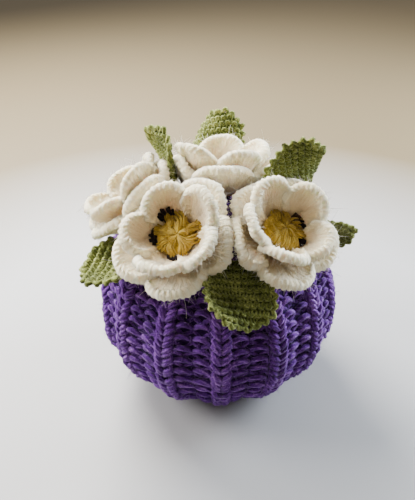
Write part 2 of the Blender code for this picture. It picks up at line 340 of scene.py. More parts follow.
def yarn_material(name, stops, plies=4.0, sheen=0.25, tint=(1.0, 1.0, 1.0, 1.0)):
    """Spun yarn: twisted plies with painted shade in the grooves between them, fine fibres along them, and a slow
    drift of the dye.
    """
    shader = Shader(name)
    place, along, around = shader.places()
    phase = shader.math("ADD", shader.math("MULTIPLY", around, plies), along)
    wave = shader.math("SINE", shader.math("MULTIPLY", phase, 2.0 * math.pi))
    groove = shader.math("ADD", shader.math("MULTIPLY", wave, 0.5), 0.5)
    fibre = shader.noise(place, 1500.0, detail=3.0, roughness=0.7)
    drift = shader.noise(place, 75.0, detail=2.0)
    strands = shader.streaks(along, 4.0, around, 16.0)
    # The groove term paints shade into the grooves between the plies; the fibre, strand and drift noises give the
    # yarn's own uneven colour.
    tone = shader.total((groove, 0.16), (fibre, 0.70), (strands, 0.80), (drift, 0.60))
    tone = shader.math("ADD", tone, -0.63)
    shader.join(shader.ramp(tone, stops), shader.surface.inputs["Base Color"])
    bumps = shader.bump(groove, 0.00035, 0.6)
    bumps = shader.bump(strands, 0.0006, 0.8, bumps)
    shader.join(shader.bump(fibre, 0.00035, 0.9, bumps), shader.surface.inputs["Normal"])
    finish_cloth(shader, sheen, tint)
    return shader.material


def finish_cloth(shader, sheen, tint, soft=0.0):
    """The matt, slightly furry finish that all the yarns share; `soft` lets light into the wool."""
    surface = shader.surface
    surface.inputs["Roughness"].default_value = 0.95
    surface.inputs["Specular IOR Level"].default_value = 0.18
    surface.inputs["Sheen Weight"].default_value = sheen
    surface.inputs["Sheen Roughness"].default_value = 0.45
    surface.inputs["Sheen Tint"].default_value = tint
    if soft:
        surface.inputs["Subsurface Weight"].default_value = soft
        surface.inputs["Subsurface Radius"].default_value = (1.0, 0.8, 0.55)
        surface.inputs["Subsurface Scale"].default_value = 0.005


def crochet_material(name, stops, painted_cup_shade, sheen, soft):
    """Crocheted cloth: fine strands running from the foot to the rim, with painted warm shade deep in the cup."""
    shader = Shader(name)
    place, across, ring = shader.places()
    strands = shader.streaks(across, 13.0, ring, 3.2)
    fibre = shader.noise(place, 1100.0, detail=3.0, roughness=0.75)
    drift = shader.noise(place, 60.0, detail=2.0)
    tone = shader.total((strands, 0.50), (fibre, 0.30), (drift, 0.25))
    colour = shader.ramp(tone, stops)
    # Painted shade: the colour is multiplied by a warm brown near the foot of each petal, fading out towards the
    # rim.
    mix = shader.node("ShaderNodeMix", data_type="RGBA", blend_type="MULTIPLY")
    depth = shader.ramp(ring, ((0.30, (255, 255, 255)), (0.88, (0, 0, 0))))
    shader.join(depth, mix.inputs["Factor"])
    shader.join(colour, mix.inputs["A"])
    mix.inputs["B"].default_value = painted_cup_shade
    shader.join(mix.outputs["Result"], shader.surface.inputs["Base Color"])
    strand_bump = shader.bump(strands, 0.0030, 0.8)
    shader.join(shader.bump(fibre, 0.0008, 0.8, strand_bump), shader.surface.inputs["Normal"])
    finish_cloth(shader, sheen, (1.0, 1.0, 1.0, 1.0), soft)
    return shader.material


# Knitted cover

def cover_profile():
    """The cover's outside line by distance along it: distance, radius, height, outward normal."""
    heights = np.linspace(0.0, FULL_HEIGHT, 120, endpoint=False)
    drop = (FULL_HEIGHT - heights) / FULL_HEIGHT
    lower = FULL_RADIUS - (FULL_RADIUS - HEM_RADIUS) * drop ** HEM_CURVE
    power = 2.0 / CROWN_FULLNESS
    last = math.acos((GATHER_RADIUS / FULL_RADIUS) ** (1.0 / power))
    angle = np.linspace(0.0, last, 260)
    radius = np.concatenate((lower, FULL_RADIUS * np.cos(angle) ** power))
    height = np.concatenate((heights, FULL_HEIGHT + (CROWN_HEIGHT - FULL_HEIGHT) * np.sin(angle) ** power))
    steps = np.hypot(np.diff(radius), np.diff(height))
    along = np.concatenate(([0.0], np.cumsum(steps)))
    level = np.gradient(height, along)
    rise = -np.gradient(radius, along)
    hem = smoothstep(along / 0.012)
    level = level * hem + (1.0 - hem)
    rise = rise * hem
    size = np.hypot(level, rise)
    return along, radius, height, level / size, rise / size


PROFILE = cover_profile()
PROFILE_LENGTH = PROFILE[0][-1]
COURSE_RISE = (PROFILE_LENGTH - FIRST_COURSE) / COURSES


def opening_half_width(opening, height):
    middle = (opening.low + opening.high) / 2.0
    reach = (opening.high - opening.low) / 2.0
    away = (height - middle) / reach
    return opening.half_width * np.maximum(0.0, 1.0 - away * away)


def rib_height(turn, radius):
    wave = 0.5 + 0.5 * np.cos(RIB_COUNT * (turn - RIB_TURN))
    return RIB_RAISE * wave ** RIB_SHARPNESS * smoothstep(radius / (FULL_RADIUS * RIB_FADE))


def on_cover(side, plain, along, depth):
    """Points and outward normals of the cover: plain turn, distance from the hem, depth off the ribs."""
    radius, height, level, rise = (np.interp(along, PROFILE[0], column) for column in PROFILE[1:])
    spout = opening_half_width(SPOUT_OPENING, height) / radius
    handle = opening_half_width(HANDLE_OPENING, height) / radius
    across = plain / (np.pi / 2.0)
    near_spout = smoothstep((-across - PULL_START) / (1.0 - PULL_START))
    near_handle = smoothstep((across - PULL_START) / (1.0 - PULL_START))
    turn = plain + near_spout * spout - near_handle * handle
    depth = depth - RIB_RAISE + rib_height(plain if side < 0 else np.pi - plain, radius)
    out = radius + level * depth
    points = np.stack((out * np.sin(turn), side * out * np.cos(turn), height + rise * depth), -1)
    normals = np.stack((level * np.sin(turn), side * level * np.cos(turn), rise), -1)
    return points + AXIS, normals


def rib_tops(side):
    """Plain turns of the rib tops within one panel."""
    step = 2.0 * np.pi / RIB_COUNT
    first = RIB_TURN if side < 0 else -RIB_TURN
    tops = first + step * np.arange(-RIB_COUNT, RIB_COUNT)
    return tops[np.abs(tops) < np.pi / 2.0], step


def stitch_columns(side, radius):
    """The stitches of one course, as kind, start and end turn; fewer where the crown draws in."""
    tops, step = rib_tops(side)
    share, between = V_WIDTH_SHARE, 2
    if radius < FEWEST_STITCHES_RADIUS:
        share, between = 1.0, 0
    elif radius <= FEWER_STITCHES_RADIUS:
        share, between = 0.5, 1
    columns = []
    place = -np.pi / 2.0
    for top in tops:
        start, end = max(top - step * share / 2.0, -np.pi / 2.0), min(top + step * share / 2.0, np.pi / 2.0)
        gap = start - place
        if gap > 1e-6:
            count = max(1, round(between * gap / (step * (1.0 - share)))) if between else 1
            for index in range(count):
                columns.append(("garter", place + gap * index / count, place + gap * (index + 1) / count))
        columns.append(("v", start, end))
        place = end
    if np.pi / 2.0 - place > 1e-6:
        columns.append(("garter", place, np.pi / 2.0))
    return columns


def course_path(side, course):
    """One course of yarn over a panel, as plain turn, distance from the hem, depth and thickness."""
    base = FIRST_COURSE + COURSE_RISE * (course + 0.5)
    radius = np.interp(base, PROFILE[0], PROFILE[1])
    stitches = []
    for kind, start, end in stitch_columns(side, radius):
        width = end - start
        raised = course % 2 == 0
        if kind == "v":
            t = np.linspace(0.0, 2.0 * np.pi, 12, endpoint=False)
            share = t / (2.0 * np.pi) + V_LEAN * np.sin(2.0 * t)
            pairing = V_PAIRING * (-1.0 if raised else 1.0)
            along = base + COURSE_RISE * (pairing - V_LIFT * np.cos(t))
            depth = STITCH_DEPTH * (0.15 - 1.0 * np.cos(2.0 * t))
            thick = 0.92 - 0.12 * np.cos(2.0 * t)
        elif raised:
            share = np.linspace(0.0, 1.0, 11, endpoint=False)
            arch = np.sin(np.pi * share ** GARTER_SKEW)
            along = base + COURSE_RISE * GARTER_LIFT * (arch - 0.50)
            depth = STITCH_DEPTH * (1.55 * arch ** 0.8 - 0.60)
            thick = 0.82 + 0.32 * arch
        else:
            share = np.linspace(0.0, 1.0, 10, endpoint=False)
            wave = np.cos(2.0 * np.pi * share)
            share = share - 0.10 * np.sin(4.0 * np.pi * share)
            along = base + COURSE_RISE * 0.80 * wave
            depth = STITCH_DEPTH * (-0.48 + 0.26 * wave)
            thick = np.full(10, 0.92)
        along = along + random.normal(0.0, 0.00042) + random.normal(0.0, 0.0005) * (share - 0.5)
        share = share + random.normal(0.0, 0.020)
        depth = depth + random.normal(0.0, 0.00030)
        stitches.append((start + width * share, along, depth, thick))
    turns, alongs, depths, thicks = (np.concatenate(part) for part in zip(*stitches))
    turns = np.clip(turns, SEAM_INSET - np.pi / 2.0, np.pi / 2.0 - SEAM_INSET)
    for values in (alongs, depths):
        values[1:-1] = 0.25 * values[:-2] + 0.5 * values[1:-1] + 0.25 * values[2:]
    return turns, np.clip(alongs, LOWEST_YARN, PROFILE_LENGTH - CROWN_LIMIT), depths, thicks


def knit_panel(side, name, material):
    """All the courses of one panel, worked back and forth in a single yarn."""
    courses = []
    for course in range(COURSES):
        courses.append([values[::-1 if course % 2 else 1] for values in course_path(side, course)])
    turns, alongs, depths, thicks = (np.concatenate(part) for part in zip(*courses))
    points, normals = on_cover(side, turns, alongs, KNIT_LEVEL + RIB_RAISE + depths)
    radius = np.interp(alongs, PROFILE[0], PROFILE[1])
    thickness = YARN_RADIUS * thicks * np.clip(radius / THINNING_RADIUS, 0.35, 1.0)
    yarns = Yarns()
    yarns.tube(points, thickness, normals)
    edge_yarn(yarns, side)
    return yarns.finish(name, material, "purple_yarn")


def cover_fuzz(side, name, material):
    """Short loose fibres standing off the knitting."""
    yarns = Yarns()
    for _ in range(COVER_HAIRS):
        along = random.uniform(0.002, PROFILE_LENGTH * 0.86)
        turn = random.uniform(-1.52, 1.52)
        depth = KNIT_LEVEL + RIB_RAISE + random.uniform(0.2, 1.1) * STITCH_DEPTH
        start, normal = on_cover(side, np.array(turn), np.array(along), depth)
        way = unit(normal + random.normal(0.0, 0.9, 3))
        bend = random.normal(0.0, 0.8, 3)
        length = random.uniform(0.0015, 0.0042)
        t = np.linspace(0.0, 1.0, 3)[:, None]
        path = start + way * length * t + bend * length * t * t * 0.5
        path[:, 2] = np.maximum(path[:, 2], HAIR_LOWEST)
        yarns.tube(path, np.array((0.00011, 0.00009, 0.00005)), normal + way * 0.3 + 0.01, sides=3)
    return yarns.finish(name, material, "purple_yarn")


def edge_yarn(yarns, side):
    """The cast-on edge along the hem, and the selvedge up each side of the panel."""
    reach = np.pi / 2.0 - EDGE_INSET
    hem = np.linspace(-reach, reach, 260)
    rise = np.linspace(EDGE_HEIGHT + 0.0002, PROFILE_LENGTH - 0.004, 200)
    lines = [(hem, np.full(260, EDGE_HEIGHT))] + [(np.full(200, edge), rise) for edge in (-reach, reach)]
    for turns, alongs in lines:
        radius = np.interp(alongs, PROFILE[0], PROFILE[1])
        step = np.hypot(np.gradient(alongs), np.gradient(turns) * radius)
        phase = 2.0 * np.pi * np.cumsum(step) / EDGE_STITCH
        thick = EDGE_YARN * (1.0 + 0.22 * np.cos(phase)) * np.clip(radius / THINNING_RADIUS, 0.35, 1.0)
        points, normals = on_cover(side, turns, alongs, KNIT_LEVEL + RIB_RAISE + 0.0006 * np.sin(phase))
        yarns.tube(points, thick, normals)


def backing(side, name, material):
    """The cloth's own body behind the raised stitches, one thin sheet from hem to gather, coloured near-black
    purple as painted shade in the gaps between the stitches.
    """
    rows, columns = BACKING_GRID
    turns = np.linspace(-np.pi / 2.0 + 0.003, np.pi / 2.0 - 0.003, columns)
    alongs = np.linspace(0.001, PROFILE_LENGTH, rows)
    plain, along = np.meshgrid(turns, alongs)
    level = KNIT_LEVEL + RIB_RAISE
    upper, _ = on_cover(side, plain, along, level + BACKING_OUT)
    lower, _ = on_cover(side, plain, along, level + BACKING_IN)
    middle = (upper + lower) / 2.0
    for grid in (upper, lower):
        grid[0], grid[-1] = middle[0], middle[-1]
        grid[:, 0], grid[:, -1] = middle[:, 0], middle[:, -1]
    if side > 0:
        upper, lower = lower, upper
    yarns = Yarns()
    yarns.pillow(upper, lower, plain * 10.0, along * 100.0)
    return yarns.finish(name, material, "purple_yarn")


# Crocheted flowers

PETAL_OVERLAP = 0.26
PETAL_TILT = 0.0017
PETAL_HALF = 0.0018
RIM_RADIUS = 0.0029
RIM_STITCH = 0.0038
RIM_RELIEF = 0.00078
EDGE_STEPS = (0.0, 0.0005, 0.0011, 0.0018, 0.0026, 0.0035, 0.0045, 0.0057, 0.0072)
INNER_RINGS = 4
SIDE_STEPS = 44
TIP_STEPS = 34
FOOT_STEPS = 8
FOOT_RING = 0.12
MIDDLE_RING = 0.56
MIDDLE_STEPS = 24
EDGE_REACH = 0.6
FLOWER_HAIRS = 3400
HAIR_REACH = 0.0058
FUZZ_CLEARANCE = 0.0260
CENTRE_SHIFT = 0.0018
CENTRE_CORNER = 0.0118
CENTRE_STRAND = 0.00056
MARK_STRAND = 0.00078
MARK_SPACING = 0.00066
MARK_RADIUS = 0.0145


def flower_frame(flower):
    """The flower's own axes: +Z faces out of the cup and the origin is its foot."""
    turn, climb = math.radians(flower.facing), math.radians(flower.rise)
    facing = Vector((math.sin(turn) * math.cos(climb), -math.cos(turn) * math.cos(climb), math.sin(climb)))
    placed = facing.to_track_quat("Z", "Y").to_matrix().to_4x4()
    placed.translation = Vector((flower.x, flower.y, flower.z))
    return np.array(placed @ Matrix.Rotation(math.radians(flower.turn), 4, "Z"))


def to_world(placed, points):
    return points @ placed[:3, :3].T + placed[:3, 3] + AXIS


def flower_middle(flower):
    return to_world(flower_frame(flower), np.array((0.0, 0.0, FLOWER_MIDDLE)))


MIDDLES = {flower.name: flower_middle(flower) for flower in FLOWERS}


def press(points, flower, keep):
    """Flatten petals softly where they would push into the flower beside them."""
    own = MIDDLES[flower.name]
    for other in FLOWERS:
        if other is flower:
            continue
        away = own - MIDDLES[other.name]
        direction = away / np.linalg.norm(away)
        distance = (points - (own - away / 2.0)) @ direction
        pair = "".join(sorted(flower.name + other.name))
        limit = keep + (SLOT_KEEP if pair in LEAF_SLOTS else 0.0)
        start = limit + PRESS_REACH
        pressed = limit + PRESS_REACH * np.exp(np.minimum(0.0, distance - start) / PRESS_REACH)
        moved = np.where(distance < start, pressed - distance, 0.0)
        points = points + moved[..., None] * direction
    return points


def sized(layer, flower):
    """The same round of petals for a larger or smaller flower, and as far open as that flower is."""
    fitted = layer._replace(length=layer.length * flower.size)
    if layer is OUTER:
        fitted = fitted._replace(end_angle=math.radians(flower.opened), turn=flower.shift)
    return fitted


def on_cup(reach, curve, inward):
    """Out and up on a petal's curve, at a reach from its foot and `inward` metres into the cup."""
    angle = reach * curve
    return np.sin(angle) / curve - inward * np.sin(angle), (1.0 - np.cos(angle)) / curve + inward * np.cos(angle)


def petal_points(flower, layer, lift, keep, petal, across, ring):
    """Points on one petal's middle surface: across from -1 to 1, ring from the foot (0) to the rim (1)."""
    layer = sized(layer, flower)
    curve = layer.end_angle / layer.length
    spread = 1.0 + PETAL_OVERLAP * ring * ring
    turn = 2.0 * np.pi * (petal + 0.5 + 0.5 * across * spread + layer.turn) / PETALS
    reach = (1.0 - CLEFT * np.abs(across) ** CLEFT_SHARPNESS) * (1.0 + UNEVEN * np.sin(2.0 * turn))
    reach = layer.length * ring * (1.0 + (reach - 1.0) * ring)
    inward = layer.spoon * ring * ring * (across * across - SPOON_LEVEL)
    inward = inward + PETAL_TILT * across * smoothstep(np.abs(across)) * ring
    inward = inward - layer.curl * smoothstep((ring - 0.50) / 0.50) ** 2
    out, high = on_cup(reach, curve, inward)
    local = np.stack((out * np.cos(turn), out * np.sin(turn), high + lift), -1)
    return press(to_world(flower_frame(flower), local), flower, keep)


def petal_outline():
    """Across and ring along a petal's edge: up one side, round the tip, down the other, over the foot."""
    side = np.linspace(FOOT_RING, 0.93, SIDE_STEPS)
    tip = np.linspace(0.0, 1.0, TIP_STEPS)
    foot = np.linspace(-1.0, 1.0, FOOT_STEPS + 2)[1:-1]
    corner = np.sin(tip * np.pi / 2.0)
    left_across = np.concatenate((np.full(SIDE_STEPS, -1.0), -np.linspace(0.985, 0.0, TIP_STEPS) ** 0.9))
    left_ring = np.concatenate((side, 0.94 + 0.065 * corner))
    across = np.concatenate((left_across, -left_across[-2::-1], foot[::-1]))
    ring = np.concatenate((left_ring, left_ring[-2::-1], np.full(FOOT_STEPS, FOOT_RING)))
    for values in (across, ring):
        for _ in range(3):
            values[:] = 0.25 * np.roll(values, 1) + 0.5 * values + 0.25 * np.roll(values, -1)
    return across, ring


def ripple(points, seed):
    """A small uneven swelling, different everywhere on the cloth."""
    total = np.zeros(points.shape[:-1])
    for index, (length, height) in enumerate(((0.0110, 0.00030), (0.0061, 0.00022), (0.0034, 0.00016))):
        way = np.array((math.sin(seed + index), math.cos(2.3 * seed + index), math.sin(1.7 * seed - index)))
        other = np.array((math.cos(seed * 1.3), math.sin(seed + 2.0 * index), math.cos(seed - index)))
        swell = np.sin(points @ unit(way) * 2.0 * np.pi / length) + np.sin(points @ unit(other) * 7.3 / length)
        total += swell * height * 0.7
    return total


def petal_cloth(yarns, flower, layer, lift, keep, petal):
    """One thick petal: a rolled rim worked in chain stitch round softer cloth."""
    edge_across, edge_ring = petal_outline()
    shares = np.linspace(0.0, 1.0, MIDDLE_STEPS)

    def spots(share):
        """Across and ring at a share of the way from the edge to the petal's middle."""
        return edge_across * (1.0 - share), MIDDLE_RING + (edge_ring - MIDDLE_RING) * (1.0 - share)

    fan = petal_points(flower, layer, lift, keep, petal, *spots(shares[:, None]))
    down = np.linalg.norm(np.diff(fan, axis=0), axis=-1)
    depth = np.concatenate((np.zeros((1, fan.shape[1])), np.cumsum(down, axis=0)))
    steps = np.array(EDGE_STEPS)
    wanted = np.empty((len(steps) + INNER_RINGS, fan.shape[1]))
    share = np.empty_like(wanted)
    for column, full in enumerate(depth[-1]):
        rest = np.linspace(min(steps[-1], full * EDGE_REACH), full * 0.96, INNER_RINGS + 1)[1:]
        near = np.minimum(steps, full * EDGE_REACH * np.linspace(0.0, 1.0, len(steps)) ** 0.9)
        wanted[:, column] = np.concatenate((near, rest))
        share[:, column] = np.interp(wanted[:, column], depth[:, column], shares)
    across, ring = spots(share)
    step = 0.004
    middle = petal_points(flower, layer, lift, keep, petal, across, ring)
    beside = petal_points(flower, layer, lift, keep, petal, across + step, ring) - middle
    onward = petal_points(flower, layer, lift, keep, petal, across, ring + step) - middle
    normal = unit(np.cross(beside, onward))
    run = np.linalg.norm(np.roll(middle[0], -1, axis=0) - middle[0], axis=-1)
    run = np.concatenate(([0.0], np.cumsum(run)[:-1]))
    stitches = round((run[-1] + 0.001) / RIM_STITCH)
    phase = run / (run[-1] + 0.001) * stitches
    rolled = np.sqrt(np.maximum(0.0, 1.0 - (1.0 - np.clip(wanted / RIM_RADIUS, 0.0, 2.0)) ** 2)) * RIM_RADIUS
    inside = smoothstep((wanted - RIM_RADIUS) / (RIM_RADIUS * 1.1))
    half = rolled * (1.0 - inside) + PETAL_HALF * inside
    faces = []
    for face in (1.0, -1.0):
        chain = 0.5 + 0.5 * np.cos(2.0 * np.pi * (phase + wanted / RIM_STITCH * 0.62))
        window = smoothstep(wanted / 0.0008) * (1.0 - smoothstep((wanted - 0.0026) / 0.0018))
        second = 0.5 + 0.5 * np.cos(2.0 * np.pi * (phase + 0.5 - face * wanted / RIM_STITCH * 0.5))
        second = second * smoothstep((wanted - 0.0030) / 0.0012) * (1.0 - smoothstep((wanted - 0.0056) / 0.0025))
        lump = RIM_RELIEF * (1.5 * (chain - 0.45) * window + 0.7 * second)
        third = 0.5 + 0.5 * np.cos(2.0 * np.pi * (phase + face * wanted / RIM_STITCH * 0.5))
        lump = lump + RIM_RELIEF * 0.45 * third * smoothstep((wanted - 0.0060) / 0.0020)
        lump = lump + ripple(middle, 3.0 * petal + face) * smoothstep(wanted / 0.0012)
        faces.append(middle + normal * (face * (half + lump * smoothstep(wanted / 0.0004)))[..., None])
    groove = 0.5 - 0.5 * np.cos(2.0 * np.pi * phase)
    outward = unit(middle[0] - middle[1])
    rim = middle[0] + outward * (0.0003 * groove - 0.0001)[:, None]
    faces[0][0] = rim
    yarns.fan(faces[0], faces[1], across, ring, rim)
    return middle, normal


def petal_round(flower, layer, lift, keep, name, materials):
    """One round of five petals, each worked as its own lobe."""
    cloth = Yarns()
    grids = [petal_cloth(cloth, flower, layer, lift, keep, petal) for petal in range(PETALS)]
    petals = cloth.finish(name + "_cloth", materials["petal"], "cream_yarn")
    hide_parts(name)
    return grids


def fuzz(yarns, flower, grids):
    """Loose fibres standing off the cloth, most of them near the rims and none in the foot of the cup."""
    foot = to_world(flower_frame(flower), np.array((0.0, 0.0, PETAL_THICKNESS)))
    for _ in range(FLOWER_HAIRS):
        middle, normal = grids[random.integers(len(grids))]
        rows, columns = middle.shape[:2]
        row = int(min(rows - 5, abs(random.normal(0.0, rows * 0.45))))
        column = random.integers(columns)
        face = 1.0 if random.random() < 0.5 else -1.0
        start = middle[row, column] + normal[row, column] * face * PETAL_HALF * 0.8
        way = unit(normal[row, column] * face + random.normal(0.0, 0.7, 3))
        if np.linalg.norm(start - foot) < FUZZ_CLEARANCE or way @ unit(foot - start) > 0.15:
            continue
        bend = random.normal(0.0, 0.6, 3)
        length = HAIR_REACH * (random.uniform(0.3, 0.9) if random.random() < 0.975 else 2.0)
        t = np.linspace(0.0, 1.0, 4)[:, None]
        path = start + way * length * t + bend * length * t * t * 0.5
        yarns.tube(path, np.linspace(0.00011, 0.00004, 4), normal[row, column] + way * 0.3 + 0.01, sides=3)


def flower_centre(flower, lift, name, materials):
    """The yellow crocheted disc: a dome under rounds of looped stitches."""
    placed = flower_frame(flower)
    base = lift + PETAL_THICKNESS / 2.0 + CENTRE_GAP
    dome, loops = Yarns(), Yarns()
    turn, share = np.meshgrid(np.linspace(0.0, 2.0 * np.pi, 37), np.linspace(0.02, 1.0, 9))
    out = CENTRE_RADIUS * 0.94 * share

    def top_height(reach):
        inside = np.minimum(1.0, reach / CENTRE_RADIUS)
        return base + CENTRE_EDGE * 0.7 + CENTRE_RISE * np.sqrt(np.maximum(0.0, 1.0 - inside ** 2)) * 0.8

    upper = np.stack((out * np.cos(turn), out * np.sin(turn), top_height(out)), -1)
    lower = upper.copy()
    lower[..., 2] = base + 0.35 * (out * out / CENTRE_RADIUS)
    for grid in (upper, lower):
        grid[-1, :, 2] = base + CENTRE_EDGE * 0.6
        grid[:, -1] = grid[:, 0]
    dome.pillow(to_world(placed, upper), to_world(placed, lower), turn, share)
    cup = sized(INNER, flower)
    curve = cup.end_angle / cup.length

    def centre_surface(run, raised):
        """Out and up at a run from the middle: over the disc first, then up the foot of the petals."""
        out, high = on_cup(0.0150 + (run - CENTRE_CORNER), curve, PETAL_THICKNESS / 2.0 + 0.0003 + raised)
        over = run > CENTRE_CORNER
        return np.where(over, out, run), np.where(over, high + lift, top_height(run) + raised)

    for count, near, far, strands, shift in ((5, 0.0003, 0.0080, 7, 0.2), (8, 0.0060, 0.0144, 10, 0.6)):
        for index in range(count):
            centre = 2.0 * np.pi * (index + shift + random.normal(0.0, 0.10)) / count
            end = far + random.normal(0.0, 0.0011)
            skew = random.normal(0.0, 0.35)
            width = 2.0 * np.pi / count * random.uniform(0.36, 0.50)
            for strand in range(strands):
                place = 2.0 * strand / (strands - 1.0) - 1.0
                t = np.linspace(0.0, 1.0, 9)
                run = near + (end - near) * t * (1.0 - 0.10 * place * place) + random.normal(0.0, 0.0002)
                fan = width * place * (0.95 - 0.25 * t)
                around = centre + fan + random.normal(0.0, 0.05) + skew * (t - 0.5)
                arch = 0.0014 * (1.0 - 0.75 * place * place) * np.sin(np.pi * np.minimum(1.0, t * 1.02)) ** 0.7
                out, high = centre_surface(run, arch + random.normal(0.0, 0.00015))
                path = np.stack((out * np.cos(around) + CENTRE_SHIFT, out * np.sin(around), high), -1)
                facing = np.broadcast_to(placed[:3, 2], path.shape)
                loops.tube(to_world(placed, path), CENTRE_STRAND, facing, sides=5)
    pad = dome.finish(name + "_disc", materials["yellow"], "yellow_yarn")
    loops.finish(name + "_stitches", materials["yellow"], "yellow_yarn")
    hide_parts(name)


# Dark marks at the foot of the petals: degrees round the cup, reach from its foot, half the strands, length
Mark = namedtuple("Mark", "flower turn reach strands length colour")
MARKS = (
    Mark("a", 112, 0.0182, 7, 0.0080, "black"),
    Mark("a", 180, 0.0152, 8, 0.0062, "black"),
    Mark("a", 268, 0.0158, 6, 0.0052, "black"),
    Mark("b", 33, 0.0165, 4, 0.0055, "brown"),
    Mark("b", 8, 0.0165, 3, 0.0045, "black"),
    Mark("b", 320, 0.0158, 5, 0.0060, "black"),
) + tuple(Mark(name, turn, 0.0150, 6, 0.0070, "black")
           for name, turns in (("c", (60, 150, 280)), ("d", (60, 200, 300))) for turn in turns)


def dark_foot_marks(flower, lift, colour, name, materials):
    """Short straight dark strands over the foot of the petals, round the edge of the centre."""
    length = INNER.length * flower.size
    curve = INNER.end_angle / length
    placed = flower_frame(flower)
    yarns = Yarns()
    made = 0
    for mark in MARKS:
        if mark.flower != flower.name or mark.colour != colour:
            continue
        strands = 2 * mark.strands
        for strand in range(strands):
            aside = (strand - (strands - 1) / 2.0) * MARK_SPACING + random.normal(0.0, 0.0005)
            t = np.linspace(-0.5, 0.5, 8)
            shorter = 1.0 - 0.45 * (2.0 * strand / (strands - 1.0) - 1.0) ** 2
            reach = mark.reach + mark.length * t * shorter + random.normal(0.0, 0.0008)
            inward = PETAL_THICKNESS / 2.0 - 0.0004 + random.uniform(0.0006, 0.0016) * np.cos(t * np.pi)
            out, high = on_cup(reach, curve, inward)
            turn = math.radians(mark.turn) + (aside + random.normal(0.0, 0.0009) * t) / MARK_RADIUS
            path = np.stack((out * np.cos(turn), out * np.sin(turn), high + lift), -1)
            yarns.tube(to_world(placed, path), MARK_STRAND, np.broadcast_to(placed[:3, 2], path.shape), sides=5)
            made += 1
    if made:
        yarns.finish(name + "_" + colour + "_stitches", materials[colour], "yellow_yarn")


# Garter-stitch leaves

LEAF_STITCH = 0.0044
LEAF_COURSE = 0.00225
LEAF_YARN = 0.00122
LEAF_DEPTH = 0.00135
LEAF_SCALLOP = 0.0056
LEAF_EDGE = 0.00150
LEAF_CLOTH_HALF = 0.0006


def leaf_frame(leaf):
    turn, climb = math.radians(leaf.heading), math.radians(leaf.climb)
    heading = Vector((math.sin(turn) * math.cos(climb), -math.cos(turn) * math.cos(climb), math.sin(climb)))
    level = heading.cross(Vector((0.0, 0.0, 1.0))).normalized()
    face = level.cross(heading).normalized()
    placed = Matrix((heading, face.cross(heading), face)).transposed().to_4x4()
    placed.translation = Vector((leaf.x, leaf.y, leaf.z))
    return np.array(placed @ Matrix.Rotation(math.radians(leaf.roll), 4, "X"))


def on_leaf(leaf, along, across, off):
    """Points at shares along and across the leaf, `off` metres above its middle surface."""
    def surface(along, across):
        bend, fold = math.radians(leaf.bend), math.radians(leaf.fold)
        length = along * leaf.length
        if abs(bend) > 0.001:
            curve = bend / leaf.length
            forward, drop = np.sin(length * curve) / curve, (1.0 - np.cos(length * curve)) / curve
        else:
            forward, drop = length, 0.0 * length
        angle = along * bend
        zero = 0.0 * angle
        spine = np.stack((np.cos(angle), zero, -np.sin(angle)), -1)
        normal = np.stack((np.sin(angle), zero, np.cos(angle)), -1)
        beside = np.stack((zero, zero + 1.0, zero), -1)
        side = across * leaf.width
        turned = np.abs(2.0 * across) * fold
        offset = beside * (side * np.cos(turned))[..., None] + normal * (np.abs(side) * np.sin(turned))[..., None]
        twist = (math.radians(leaf.twist) * along ** 3)[..., None]
        offset = offset * np.cos(twist) + np.cross(spine, offset) * np.sin(twist)
        return np.stack((forward, zero, -drop), -1) + offset

    step = 0.01
    point = surface(along, across)
    forward = surface(along + step, across) - surface(along - step, across)
    beside = surface(along, across + step) - surface(along, across - step)
    normal = unit(np.cross(forward, beside))
    placed = leaf_frame(leaf)
    world = to_world(placed, point + normal * np.asarray(off)[..., None])
    return world, normal @ placed[:3, :3].T


def leaf_half_width(along):
    """Half the leaf's width, as a share of its full width, at a share of its length."""
    cosine = np.clip(1.0 - 2.0 * along, -1.0, 1.0)
    return np.sqrt(1.0 - cosine * cosine) * (1.0 - LEAF_STEM_TAPER * cosine) / 2.0


